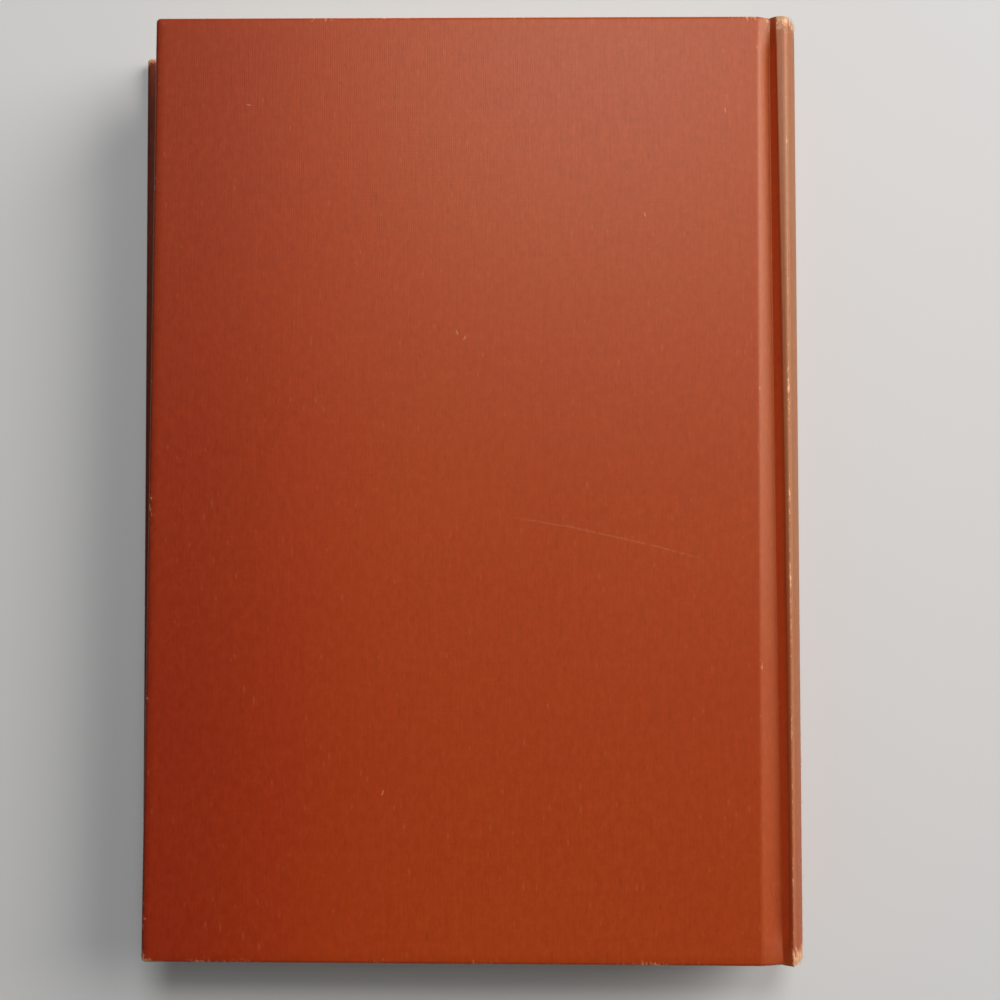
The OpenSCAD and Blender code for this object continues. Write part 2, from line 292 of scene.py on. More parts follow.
class Sheet:
    """Cloth or paper: its points, where each lies when the sheet is flat, its wear and its faces."""

    def __init__(self):
        self.points = []
        self.flat = []
        self.rub = []
        self.fade = []
        self.faces = []
        self.known = {}

    def point(self, x, y, z, s, t, rub=0, fade=0):
        key = (round(x * 1e7), round(y * 1e7), round(z * 1e7))
        if key not in self.known:
            self.known[key] = len(self.points)
            self.points.append((x, y, z))
            self.flat.append((s, t))
            self.rub.append(rub)
            self.fade.append(fade)
        return self.known[key]

    def face(self, *corners):
        kept = [c for i, c in enumerate(corners) if c not in corners[:i]]
        if len(kept) > 2:
            self.faces.append(kept)

    def lattice(self, lines):
        """Faces between rows of points."""
        for here, after in zip(lines, lines[1:]):
            for k in range(len(here) - 1):
                self.face(here[k], here[k + 1], after[k + 1], after[k])

    def piece(self, name, material, thickness, turned=False):
        """The finished mesh, with its thickness on the inner side."""
        mesh = bpy.data.meshes.new(name)
        faces = [face[::-1] for face in self.faces] if turned else self.faces
        mesh.from_pydata(self.points, [], faces)
        flat = mesh.uv_layers.new(name="flat")
        for loop in mesh.loops:
            flat.data[loop.index].uv = self.flat[loop.vertex_index]
        for label, values in (("rub", self.rub), ("fade", self.fade)):
            mesh.attributes.new(label, "FLOAT", "POINT").data.foreach_set("value", values)
        mesh.shade_smooth()
        mesh.materials.append(material)
        piece = bpy.data.objects.new(name, mesh)
        bpy.context.scene.collection.objects.link(piece)
        solidify = piece.modifiers.new("thickness", "SOLIDIFY")
        solidify.thickness = thickness
        solidify.offset = -1
        return baked(piece)


def sheet_of(rows):
    """A sheet from its rows of points."""
    sheet = Sheet()
    sheet.lattice([[sheet.point(*point) for point in row] for row in rows])
    return sheet


SHARP_ANGLE = math.radians(50)


def baked(piece):
    """The object with its modifiers' result as its own plain mesh."""
    evaluated = piece.evaluated_get(bpy.context.evaluated_depsgraph_get())
    mesh = bpy.data.meshes.new_from_object(evaluated)
    piece.modifiers.clear()
    piece.data = mesh
    mesh.set_sharp_from_angle(angle=SHARP_ANGLE)
    return piece


def wrap(thickness):
    """Inset and share of the depth at each step as cloth goes round an edge of this thickness."""
    r = min(EDGE_R, thickness / 2)
    quarter = [math.pi / 2 * i / WRAP_STEPS for i in range(WRAP_STEPS + 1)]
    first = [(r * (1 - math.sin(a)), r * (1 - math.cos(a)) / thickness) for a in quarter]
    return first + [(inset, 1 - share) for inset, share in reversed(first)]


def row_heights():
    reach = HALF_H - GRID_INSET
    return [-reach + 2 * reach * i / ROWS for i in range(ROWS + 1)]


def edge_rub(distance):
    """Wear near an edge of the case."""
    return float(1 - smooth_step(0.2 * MM, 2.2 * MM, distance))


def sun_fade(y):
    """How much of the sun's fading reaches a height of the spine."""
    return 0.5 + 0.5 * float(smooth_step(-HALF_H, -0.1 * HALF_H, y))


# Fading across a joint: how many corners past the board, and how much, where below 0 is sheltered cloth that
# is painted lighter as bounce light
JOINT_PLACES = (0, 0.75, 1.1, 2, 2.5, 3.1, 3.6, 4, 5, 6)
JOINT_FADE = (0, 0, 0.34, 0.36, 0.1, -0.8, -0.75, 0.45, 0.95, 1)
# Fading of the groove at head and tail, where it isn't sheltered
ENDS_FADE = 0.3


def joint_wear(station, y):
    """Rubbing and fading of a joint's cloth, by how many corners past the board the place is."""
    ridge_rub = 1.5 - 0.5 * float(smooth_step(0, 0.6 * HALF_H, y))
    rub = 0.55 * math.exp(-(((station - 1) / 0.3) ** 2))
    rub += ridge_rub * math.exp(-(((station - 5.05) / 0.32) ** 2))
    at_head = 1 - float(smooth_step(1 * MM, 5.5 * MM, HALF_H - y))
    rub += 1.5 * at_head * math.exp(-(((station - 1.8) / 0.5) ** 2))
    fade = float(np.interp(station, JOINT_PLACES, JOINT_FADE))
    return rub, fade


def cap_rub(y, share):
    """Fraying of the spine's ends, where the share says how far the place is on the spine."""
    near_head = float(np.interp(HALF_H - y, [0.6 * MM, 3 * MM, 11 * MM], [1, 0.5, 0]))
    near_tail = float(np.interp(HALF_H + y, [1.2 * MM, 4.5 * MM, 12 * MM], [1, 0.55, 0]))
    return share * max(2.3 * near_head, 2.2 * near_tail)


# Wear of each cover's fore corner, by side and by end, which is 1 at the head and -1 at the tail
CORNER_RUB = {(1, 1): 1.2, (1, -1): 2.8, (-1, 1): 4, (-1, -1): 2.8}
# Wear of the tail edges and the fore edges beside that of the head edges
TAIL_RUB = 1.2
FORE_RUB = 0.88
# How much less an edge and a corner are worn on the inner side
EDGE_SPARED = 0.45
CORNER_SPARED = 0.5
# Part of the run down and up the joint that is added to places on the flat sheet
STEEP_SHARE = 0.2


@functools.lru_cache(maxsize=None)
def cover_section(side, y):
    """Columns across a cover at a height, each as its share of the board's width (None past the board), the
    outer and inner points, its run past the board, and its rubbing and fading."""
    path, stations = joint_path(side, y)
    face, inner_face = level(side, 0), level(side, COVER_T)
    board = path[0][0]
    columns = []
    for i in range(BOARD_COLUMNS + 1):
        columns.append((i / BOARD_COLUMNS, np.array([board, face]), np.array([board, inner_face]), 0, 0, 0))
    for i, (run, station) in enumerate(zip(run_lengths(path), stations)):
        if i == 0:
            continue
        along = unit(path[min(i + 1, len(path) - 1)] - path[i - 1])
        inner = path[i] + side * TURNED_IN * np.array([along[1], -along[0]])
        if station < 3:
            inner = np.array([path[i][0], inner_face])
        _, outer_before, inner_before, *_ = columns[-1]
        if (inner - inner_before) @ (path[i] - outer_before) <= 0:
            inner = inner_before
        rub, fade = joint_wear(station, y)
        if fade < 0:
            fade += (ENDS_FADE - fade) * end_lift(y)
        rub = max(rub, cap_rub(y, float(smooth_step(3.4, 4.4, station))))
        columns.append((None, path[i], inner, run, rub, fade))
    return columns


def cover_cloth(side):
    """One cover's cloth, with its wrapped edges, its turn-ins and its joint up to the spine's arc."""
    heights = row_heights()
    count = len(cover_section(side, 0))
    sheet = Sheet()

    def placed(c, y, inset, share, t, rub=0):
        """The point of a column at a height, on the outer face where the share is 0."""
        part, outer, inner, run, joint_rub, fade = cover_section(side, y)[c]
        x, z = outer + (inner - outer) * share
        edge = fore_edge(side, y)
        if part is None:
            s = outer[0] - edge + run * STEEP_SHARE
        else:
            left = edge + inset
            x = left + (x - left) * part
            s = x - edge
        return sheet.point(x, y, z, s, t, max(rub, joint_rub), fade * sun_fade(y) if fade > 0 else fade)

    sheet.lattice([[placed(c, y, GRID_INSET, 0, y) for c in range(count)] for y in heights])

    def corner_point(turn, end, inset, share, travelled):
        """A point round a cover's fore corner, where a turn of 0 faces head or tail and 1 the fore edge."""
        angle = math.pi / 2 * turn
        r = max(CORNER_R - inset, 0)
        middle = max(CORNER_R, inset)
        y = end * (HALF_H - middle + r * math.cos(angle))
        x = fore_edge(side, y) + middle - r * math.sin(angle)
        s = CORNER_R - (CORNER_R + travelled) * math.sin(angle)
        t = end * (HALF_H - CORNER_R + (CORNER_R + travelled) * math.cos(angle))
        worn = CORNER_RUB[side, end] * edge_rub(inset) * (1 - CORNER_SPARED * share)
        return sheet.point(x, y, level(side, COVER_T * share), s, t, worn)

    def ring(kind, place, end):
        """Points from the grid's edge over the outer face, round the edge, and in over the turn-in."""
        thickness = COVER_T
        if kind == "column":
            _, outer, inner, *_ = cover_section(side, end * HALF_H)[place]
            thickness = float(np.linalg.norm(inner - outer))
        steps = [(GRID_INSET, 0)] + wrap(thickness) + [(inset, 1) for inset in INNER_INSETS]
        points = []
        travelled = -GRID_INSET
        last = steps[0]
        for inset, share in steps:
            travelled += math.hypot(inset - last[0], (share - last[1]) * thickness)
            last = (inset, share)
            rub = edge_rub(inset) * (1 - EDGE_SPARED * share)
            if kind == "column":
                rub *= TAIL_RUB if end < 0 else 1
                y = end * (HALF_H - inset)
                t = end * (HALF_H + travelled)
                points.append(placed(place, y, max(GRID_INSET, inset), share, t, rub))
            elif kind == "row":
                y = heights[place] * (HALF_H - max(GRID_INSET, inset)) / (HALF_H - GRID_INSET)
                x = fore_edge(side, y) + inset
                points.append(sheet.point(x, y, level(side, COVER_T * share), -travelled, y, FORE_RUB * rub))
            else:
                points.append(corner_point(place, end, inset, share, travelled))
        return points

    turns = [i / CORNER_STEPS for i in range(CORNER_STEPS + 1)]
    outline = [("column", c, 1) for c in range(count - 1, 0, -1)]
    outline += [("corner", turn, 1) for turn in turns]
    outline += [("row", row, 0) for row in range(ROWS - 1, 0, -1)]
    outline += [("corner", turn, -1) for turn in reversed(turns)]
    outline += [("column", c, -1) for c in range(1, count)]
    sheet.lattice([ring(*place) for place in outline])
    return sheet


# Where the spine's cloth starts on the flat sheet
BEFORE_SPINE = 150 * MM
# How far from the joints the spine's card reaches its full thickness
CARD_TAPER = 1.2 * MM


def spine_cloth():
    """The cloth round the spine between the two joints, turned in at head and tail over the card."""
    steps = 44
    sweep = ARC_END[-1] - ARC_END[1]
    rows = []
    for i in range(steps + 1):
        angle = ARC_END[1] + sweep * i / steps
        s = BEFORE_SPINE + abs(sweep) * SPINE_R * i / steps
        from_seam = min(i, steps - i) / steps * abs(sweep) * SPINE_R
        thickness = TURNED_IN + INLAY_T * float(smooth_step(0, CARD_TAPER, from_seam))
        head = [(HALF_H - inset, share) for inset, share in wrap(thickness)]
        head += [(HALF_H - inset, 1) for inset in INNER_INSETS]
        profile = [(-y, share) for y, share in reversed(head)] + [(y, 0) for y in row_heights()] + head
        # The caps are less frayed on the front cover's side
        cap_share = 1 - 0.6 * float(smooth_step(0.3, 0.7, i / steps))
        row = []
        travelled = -HALF_H - TURN_IN
        last = None
        for y, share in profile:
            x, z = on_arc(SPINE_R - thickness * share, angle)
            if last is not None:
                travelled += math.dist(last, (x, y, z))
            last = (x, y, z)
            rub = max(edge_rub(HALF_H - abs(y)), cap_rub(y, cap_share))
            row.append((x, y, z, s, travelled, rub, sun_fade(y)))
        rows.append(row)
    return sheet_of(rows)


# Half the width over which the pasted paper steps down from one layer to the next
PAPER_STEP = 0.6 * MM
ENDPAPER_ROWS = 60


def endpaper(side):
    """The pasted half of an endpaper and the strip that crosses the joint to the folds."""
    left, right = fore_edge(side, 0) + MARGIN, END[side]
    strip = shoulder_path(side, END[side], TURNED_IN + PAPER_T)
    reach = LEAF_H / 2
    gauze_reach = reach - GAUZE_SHORT
    half = HALF_H - MARGIN
    width = right - left
    across = {0, 1 * MM, *[width * i / 24 for i in range(25)]}
    for layer_edge in (TURN_IN - MARGIN, width - GAUZE_WING):
        across |= {layer_edge - PAPER_STEP, layer_edge + PAPER_STEP}
    rows = []
    for i in range(ENDPAPER_ROWS + 1):
        share = 2 * i / ENDPAPER_ROWS - 1
        row = []
        for run in sorted(across):
            x = left + run
            y = share * half
            if side < 0:
                x -= SPLAY * y / HALF_H * (1 - run / width)
            to_edge = min(run + MARGIN, HALF_H - abs(y))
            on_cloth = 1 - smooth_step(TURN_IN - 0.5 * MM, TURN_IN + 0.7 * MM, to_edge)
            on_gauze = smooth_step(-GAUZE_WING - 0.5 * MM, -GAUZE_WING + 0.5 * MM, x - right)
            on_gauze *= 1 - smooth_step(gauze_reach - 0.5 * MM, gauze_reach + 0.5 * MM, abs(y))
            depth = CLOTH_T + BOARD_T + PAPER_T + max(CLOTH_T * on_cloth, GAUZE_T * on_gauze)
            rub = float(1 - smooth_step(0, 6 * MM, min(run, half - abs(y))))
            row.append((x, y, level(side, depth), run, y, rub))
        for point, run in list(zip(strip, run_lengths(strip)))[1:]:
            y = share * (half + (reach - half) * float(smooth_step(0, 3 * MM, run)))
            row.append((point[0], y, point[1], width + run, y))
        rows.append(row)
    return sheet_of(rows)


def upright_sheet(path, reach, browned=None):
    """A sheet that follows a line across the book from one height to its mirror height, browned within a
    distance of its edges."""
    runs = run_lengths(path)
    rows = []
    for i in range(UPRIGHT_ROWS + 1):
        y = (2 * i / UPRIGHT_ROWS - 1) * reach
        row = []
        for point, run in zip(path, runs):
            to_edge = min(run, reach - abs(y))
            rub = float(1 - smooth_step(0, browned, to_edge)) if browned else 0
            row.append((point[0], y, point[1], run, y, rub))
        rows.append(row)
    return sheet_of(rows)


def free_leaf(side):
    """The free half of an endpaper, from the fore edge to its fold at the shoulder."""
    path = shoulder_path(side, END[side] - 20 * MM, OVER_LEAVES)
    edge = leaf_edge(path[0][1])
    path = [np.array([edge + (path[0][0] - edge) * i / 30, path[0][1]]) for i in range(30)] + path
    return upright_sheet(path, LEAF_H / 2, 5 * MM)


def gauze_joint(side):
    """The gauze that leaves the folds over the shoulder and crosses the joint to the board."""
    return upright_sheet(shoulder_path(side, END[side], TURNED_IN), LEAF_H / 2 - GAUZE_SHORT)


def gauze_back():
    """The gauze glued over the folds, from shoulder to shoulder."""
    angles = [angle_of(shoulder_path(side, END[side], TURNED_IN)[-1]) for side in (1, -1)]
    path = [on_arc(FOLDS_R + GAUZE_T, angle) for angle in np.linspace(*angles, 60)]
    return upright_sheet(path, LEAF_H / 2 - GAUZE_SHORT)


# Node trees


def srgb(red, green, blue):
    """A colour written as 0 to 255 display values, as the linear colour of a socket."""
    linear = []
    for part in (red, green, blue):
        part /= 255
        linear.append(part / 12.92 if part <= 0.04045 else ((part + 0.055) / 1.055) ** 2.4)
    return (*linear, 1)


class Value:
    """A node's output. Arithmetic on it adds the nodes that work it out."""

    def __init__(self, bench, socket):
        self.bench = bench
        self.socket = socket

    def __add__(self, other):
        return self.bench.math("ADD", self, other)

    def __sub__(self, other):
        return self.bench.math("SUBTRACT", self, other)

    def __rsub__(self, other):
        return self.bench.math("SUBTRACT", other, self)

    def __mul__(self, other):
        return self.bench.math("MULTIPLY", self, other)

    def __truediv__(self, other):
        return self.bench.math("DIVIDE", self, other)

    def __rtruediv__(self, other):
        return self.bench.math("DIVIDE", other, self)


class Bench:
    """Adds nodes to a tree. An input takes a plain value or another node's output."""

    def __init__(self, tree):
        self.tree = tree

    def feed(self, socket, value):
        if isinstance(value, Value):
            self.tree.links.new(value.socket, socket)
        else:
            socket.default_value = value

    def node(self, kind, inputs=(), **settings):
        node = self.tree.nodes.new(kind)
        for name, value in settings.items():
            setattr(node, name, value)
        for name, value in dict(inputs).items():
            self.feed(node.inputs[name], value)
        return node

    def value(self, output, kind, inputs=(), **settings):
        """One output of a new node."""
        return Value(self, self.node(kind, inputs, **settings).outputs[output])

    def math(self, operation, *values):
        return self.value(0, "ShaderNodeMath", enumerate(values), operation=operation)

    def vector(self, operation, first, second):
        output = "Value" if operation == "DISTANCE" else "Vector"
        return self.value(output, "ShaderNodeVectorMath", {0: first, 1: second}, operation=operation)

    def parts(self, vector):
        """The three parts of a vector."""
        return [Value(self, part) for part in self.node("ShaderNodeSeparateXYZ", {0: vector}).outputs]

    def joined(self, x, y, z):
        return self.value(0, "ShaderNodeCombineXYZ", {0: x, 1: y, 2: z})

    def noise(self, place, scale, detail=2, roughness=0.5):
        """Noise of one scale, or of a scale for each of the three ways."""
        if isinstance(scale, tuple):
            place = self.vector("MULTIPLY", place, scale)
            scale = 1
        inputs = {"Vector": place, "Scale": scale, "Detail": detail, "Roughness": roughness}
        return self.value("Fac", "ShaderNodeTexNoise", inputs)

    def smooth(self, value, low, high):
        inputs = {"Value": value, "From Min": low, "From Max": high}
        return self.value("Result", "ShaderNodeMapRange", inputs, interpolation_type="SMOOTHSTEP")

    def mix(self, factor, first, second, blend="MIX"):
        inputs = {0: factor, 6: first, 7: second}
        return self.value(2, "ShaderNodeMix", inputs, data_type="RGBA", blend_type=blend)

    def attribute(self, name):
        return self.value("Fac", "ShaderNodeAttribute", attribute_name=name)

    def group(self, tree, inputs):
        """What an effect gives where it is placed, by name."""
        node = self.node("ShaderNodeGroup", inputs, node_tree=tree)
        return {output.name: Value(self, output) for output in node.outputs}

    def give(self, **results):
        """The results of a group."""
        outlet = self.node("NodeGroupOutput")
        for name, value in results.items():
            self.feed(outlet.inputs[name], value)


def new_group(name, kind, inputs, outputs):
    """An empty node group with its sockets, its bench and what its inputs give, by name."""
    tree = bpy.data.node_groups.new(name, kind)
    for direction, sockets in (("INPUT", inputs), ("OUTPUT", outputs)):
        for label, socket_type, *value in sockets:
            socket = tree.interface.new_socket(name=label, in_out=direction, socket_type=socket_type)
            if value:
                socket.default_value = value[0]
    bench = Bench(tree)
    inlet = bench.node("NodeGroupInput")
    return tree, bench, {output.name: Value(bench, output) for output in inlet.outputs}


FLOAT, VECTOR = "NodeSocketFloat", "NodeSocketVector"


# Effects shared by the materials. Places are on the flat sheet, in metres.


def woven_threads():
    """Plain weave, in which the threads of two directions go over and under each other."""
    tree, bench, given = new_group(
        "woven_threads", "ShaderNodeTree",
        [("Flat", VECTOR), ("Thread pitch", FLOAT, 0.42 * MM), ("Unevenness", FLOAT, 0.5)],
        [("Height", FLOAT), ("Streaks", FLOAT)],
    )
    flat = given["Flat"]
    wander = (bench.noise(flat, 420) - 0.5) * given["Unevenness"]
    waves = []
    for part in bench.parts(flat)[:2]:
        waves.append(bench.math("SINE", (part / given["Thread pitch"] + wander) * math.pi))
    over = waves[0] * waves[1] * 0.5 + 0.5
    warp = bench.math("ABSOLUTE", waves[0]) * over
    weft = bench.math("ABSOLUTE", waves[1]) * (1 - over)
    warp_streaks = bench.noise(flat, (2600, 110, 1), 3, 0.6) * 0.5
    weft_streaks = bench.noise(flat, (140, 2600, 1), 3, 0.6) * 0.1
    short_streaks = (bench.noise(flat, (1500, 700, 1), 3, 0.6) - 0.5) * 0.5
    bench.give(Height=warp + weft, Streaks=warp_streaks + weft_streaks + short_streaks)
    return tree


def aged_blotches():
    """Large soft patches, small grime and sparse specks."""
    tree, bench, given = new_group(
        "aged_blotches", "ShaderNodeTree",
        [("Flat", VECTOR), ("Speck spacing", FLOAT, 5 * MM), ("Speck size", FLOAT, 0.1)],
        [("Patches", FLOAT), ("Grime", FLOAT), ("Specks", FLOAT)],
    )
    flat = given["Flat"]
    from_middle = bench.value("Distance", "ShaderNodeTexVoronoi", {
        "Vector": bench.vector("MULTIPLY", flat, (1, 0.55, 1)), "Scale": 1 / given["Speck spacing"],
    })
    size = given["Speck size"] * bench.noise(flat, 90, 1)
    bench.give(
        Patches=bench.noise(flat, 26, 3, 0.55),
        Grime=bench.noise(flat, (620, 360, 1), 4, 0.65),
        Specks=bench.smooth(from_middle, size, 0),
    )
    return tree


def rubbed_fibres():
    """Where wear has broken the threads' surface, from a measure of how exposed the place is."""
    tree, bench, given = new_group(
        "rubbed_fibres", "ShaderNodeTree",
        [("Flat", VECTOR), ("Rub", FLOAT, 0), ("Amount", FLOAT, 0.5)],
        [("Mask", FLOAT)],
    )
    flat, rub = given["Flat"], given["Rub"]
    breakup = bench.noise(flat, 70) * 0.55 + bench.noise(flat, (1500, 700, 1), 3, 0.7) * 0.6
    broken = bench.smooth(breakup + rub * given["Amount"], 0.8, 0.96)
    bench.give(Mask=broken * bench.smooth(rub, 0, 0.25))
    return tree


def paper_grain():
    """Fine fibres and yellowed clouds of old paper."""
    tree, bench, given = new_group(
        "paper_grain", "ShaderNodeTree",
        [("Place", VECTOR), ("Clouds", FLOAT, 30)],
        [("Fibres", FLOAT), ("Yellowing", FLOAT)],
    )
    place = given["Place"]
    bench.give(Fibres=bench.noise(place, 3500, 3, 0.6), Yellowing=bench.noise(place, given["Clouds"], 4, 0.6))
    return tree


def thin_scratch():
    """A faint scratch along an arc between two places across the sheet."""
    tree, bench, given = new_group(
        "thin_scratch", "ShaderNodeTree",
        [("Flat", VECTOR), ("Centre", VECTOR), ("Radius", FLOAT), ("From", FLOAT), ("To", FLOAT),
         ("Width", FLOAT, 0.35 * MM)],
        [("Mask", FLOAT)],
    )
    flat = given["Flat"]
    wander = (bench.noise(flat, 120) - 0.5) * (0.6 * MM)
    off_arc = bench.vector("DISTANCE", flat, given["Centre"]) - given["Radius"] + wander
    near = bench.smooth(bench.math("ABSOLUTE", off_arc), given["Width"], 0)
    broken = bench.smooth(bench.noise(flat, 900, 2, 0.7), 0.3, 0.6)
    across = bench.parts(flat)[0]
    past_start = bench.smooth(across - given["From"], 0, 5 * MM)
    before_end = bench.smooth(given["To"] - across, 0, 5 * MM)
    bench.give(Mask=near * broken * past_start * before_end)
    return tree


def small_nick():
    """A short nick with ragged ends."""
    tree, bench, given = new_group(
        "small_nick", "ShaderNodeTree",
        [("Flat", VECTOR), ("Place", VECTOR), ("Turn", FLOAT, 0), ("Length", FLOAT, 0.75 * MM),
         ("Width", FLOAT, 0.24 * MM)],
        [("Mask", FLOAT)],
    )
    flat, place = given["Flat"], given["Place"]
    turned = bench.value("Vector", "ShaderNodeVectorRotate", {
        "Vector": flat, "Center": place, "Angle": given["Turn"],
    }, rotation_type="Z_AXIS")
    x, y, _ = bench.parts(bench.vector("SUBTRACT", turned, place))
    along = x / given["Length"]
    across = y / given["Width"]
    ragged = (bench.noise(flat, 2200) - 0.5) * 0.9
    bench.give(Mask=bench.smooth(along * along + across * across + ragged, 1, 0.3))
    return tree


threads, blotches, rubbed, grain = woven_threads(), aged_blotches(), rubbed_fibres(), paper_grain()
scratch, nick = thin_scratch(), small_nick()

# Marks on the back cover, in mm from its fore edge and from half height, with a turn in radians
LIGHT_NICKS = (
    (110, 59.7, 1.3), (68.3, 33.2, 1.2), (70, 32, 2.0), (128, 83.2, 1.4), (21.3, 84.7, 0.2), (52.5, -68, 1.9),
)
DARK_NICKS = ((60, 28.2, 1.1), (43, 93.5, 1.0))
SCRATCH = {"Centre": (40 * MM, -295 * MM, 0), "Radius": 290 * MM, "From": 80 * MM, "To": 123 * MM}

# Materials


def new_material(name, roughness, specular=0.5, tint=(1, 1, 1, 1)):
    """A material with its shader and its bench."""
    material = bpy.data.materials.new(name)
    material.use_nodes = True
    shader = material.node_tree.nodes["Principled BSDF"]
    shader.inputs["Roughness"].default_value = roughness
    shader.inputs["Specular IOR Level"].default_value = specular
    shader.inputs["Specular Tint"].default_value = tint
    return material, shader, Bench(material.node_tree)


def bump(bench, shader, height, depth, strength=0.6):
    inputs = {"Height": height, "Distance": depth, "Strength": strength}
    bench.feed(shader.inputs["Normal"], bench.value("Normal", "ShaderNodeBump", inputs))


# DEEP_RED and ORANGE_RED are the painted-shade and painted-light ends of the cover's gradient, which also
# wanders at random in patches
DEEP_RED = srgb(156, 40, 3)
ORANGE_RED = srgb(169, 64, 9)
# Sheltered, less faded cloth in the groove, made lighter than the cover as painted bounce light
SHELTERED_RED_PAINTED_BOUNCE = srgb(216, 77, 24)
SUN_TAN = srgb(158, 98, 60)
CAP_TAN = srgb(180, 140, 90)
FIBRE = srgb(214, 160, 122)
SOIL = srgb(70, 22, 12)
# Light dust in the weave, partly standing for painted glints of the threads; also the light slubs' colour
DUST_AND_GLINT = srgb(222, 150, 92)
# Roughness of the sheltered cloth in the groove
MATTE = 0.85
# Light and dark slubs: the scale of their pattern up the sheet, where less is longer, then their spacing,
# colour and strength
SLUBS = ((0.6, 2.2 * MM, DUST_AND_GLINT, 0.09), (0.5, 2.4 * MM, SOIL, 0.2))


def book_cloth(name, roughness=0.42, marked=False, tone=1):
    """Orange-red book cloth with rubbed edges, sun-tanned where the fade attribute is above 0 and sheltered
    where it is below, the sheltered cloth painted lighter as bounce light. Painted light and shade run across
    the cover, painted shade darkens the rim at the fore edge, light dust stands partly for painted glints of
    the threads, and a tone below 1 is painted shade over the whole cloth."""
    material, shader, bench = new_material(name, roughness, 0.36, (1, 0.92, 0.8, 1))
    flat = bench.value("UV", "ShaderNodeUVMap", uv_map="flat")
    x, y, _ = bench.parts(flat)
    rub = bench.attribute("rub")
    fade = bench.attribute("fade")
    weave = bench.group(threads, {"Flat": flat})
    aged = bench.group(blotches, {"Flat": flat})
    wear = bench.group(rubbed, {"Flat": flat, "Rub": rub, "Amount": 0.17})
    streaks, grime, patches = weave["Streaks"], aged["Grime"], aged["Patches"]

    # Painted light and shade: lighter towards the spine and the head, darker towards the fore edge and the
    # tail, as the light falls
    painted_light_gradient = bench.smooth(x, 0, 75 * MM) * 0.6 + bench.smooth(y, -70 * MM, 90 * MM) * 0.35
    colour = bench.mix(painted_light_gradient + (patches - 0.5) * 0.3, DEEP_RED, ORANGE_RED)
    colour = bench.mix(fade * bench.smooth(patches, 0, 0.5), colour, SUN_TAN)
    colour = bench.mix(fade * -1, colour, SHELTERED_RED_PAINTED_BOUNCE)

    # Darker towards the fore edge, over the 45 mm beside it
    darker_towards_fore_edge = (bench.smooth(x, -2 * MM, 45 * MM) - 1) * 0.15
    # Painted shade on the rounded rim at the fore edge, darkest within 2 mm of it
    painted_edge_shade = bench.smooth(x, -1 * MM, 2 * MM) * 0.6 + 0.4
    shade = (streaks * 0.42 + 0.79 + darker_towards_fore_edge) * painted_edge_shade + (grime - 0.5) * 0.22
    # A tone below 1 darkens the whole cloth as painted shade, used for the spine's cloth where the window
    # lamp falls on it head-on
    shade = shade * tone
    grey = bench.value(0, "ShaderNodeCombineColor", {0: shade, 1: shade, 2: shade})
    colour = bench.mix(1, colour, grey, "MULTIPLY")

    # Light dust along streaks and grime, partly painted glints of the threads
    dust_and_glint = bench.smooth(streaks, 0.35, 0.75) * 0.04 + bench.smooth(grime, 0.35, 0.75) * 0.016
    colour = bench.mix(dust_and_glint, colour, DUST_AND_GLINT)
    colour = bench.mix(aged["Specks"] * 0.4, colour, SOIL)
    for upright_scale, spacing, slub_colour, strength in SLUBS:
        scaled = bench.vector("MULTIPLY", flat, (1, upright_scale, 1))
        slubs = bench.group(blotches, {"Flat": scaled, "Speck spacing": spacing, "Speck size": 0.3})
        colour = bench.mix(slubs["Specks"] * strength, colour, slub_colour)
    worn_colour = bench.mix(bench.smooth(rub, 1.9, 2.3), FIBRE, CAP_TAN)
    colour = bench.mix(wear["Mask"], colour, worn_colour)
    if marked:
        mark = bench.group(scratch, {"Flat": flat, **SCRATCH})
        colour = bench.mix(mark["Mask"] * 0.12, colour, FIBRE)
        for places, nick_colour in ((LIGHT_NICKS, FIBRE), (DARK_NICKS, SOIL)):
            for across, up, turn in places:
                mark = bench.group(nick, {"Flat": flat, "Place": (across * MM, up * MM, 0), "Turn": turn})
                colour = bench.mix(mark["Mask"] * 0.25, colour, nick_colour)
    bench.feed(shader.inputs["Base Color"], colour)

    gloss = bench.smooth(fade, -0.6, 0) * (roughness - MATTE) + MATTE
    bench.feed(shader.inputs["Roughness"], gloss + 0.05 - streaks * 0.1)
    bump(bench, shader, streaks * 0.8 + weave["Height"] * 0.35, 0.05 * MM, 0.5)
    return material


def old_paper(name, clean, aged_colour, edge_colour, streaks=(1, 1, 1)):
    """Old paper, browner where the rub attribute is high."""
    material, shader, bench = new_material(name, 0.85, 0.3)
    place = bench.value("Object", "ShaderNodeTexCoord")
    fibres = bench.group(grain, {"Place": bench.vector("MULTIPLY", place, streaks)})["Fibres"]
    clouds = bench.group(grain, {"Place": place, "Clouds": 22})["Yellowing"]
    colour = bench.mix(bench.smooth(clouds, 0.35, 0.7), clean, aged_colour)
    colour = bench.mix(bench.attribute("rub") * 0.6, colour, edge_colour)
    colour = bench.mix(fibres * 0.35, colour, aged_colour)
    bench.feed(shader.inputs["Base Color"], colour)
    bump(bench, shader, fibres, 0.02 * MM, 0.4)
    return material


def plain_fibre(name, colour, dark, scale):
    """Fibrous stuff with a mottled tone, such as board or gauze."""
    material, shader, bench = new_material(name, 0.9, 0.2)
    mottle = bench.noise(bench.value("Object", "ShaderNodeTexCoord"), scale, 4, 0.65)
    bench.feed(shader.inputs["Base Color"], bench.mix(bench.smooth(mottle, 0.3, 0.75), colour, dark))
    bump(bench, shader, mottle, 0.05 * MM)
    return material


def striped_thread():
    """Endband thread in two close tones, by the stripe attribute."""
    material, shader, bench = new_material("endband_thread", 0.6)
    colour = bench.mix(bench.attribute("stripe"), srgb(222, 200, 150), srgb(166, 92, 52))
    bench.feed(shader.inputs["Base Color"], colour)
    return material


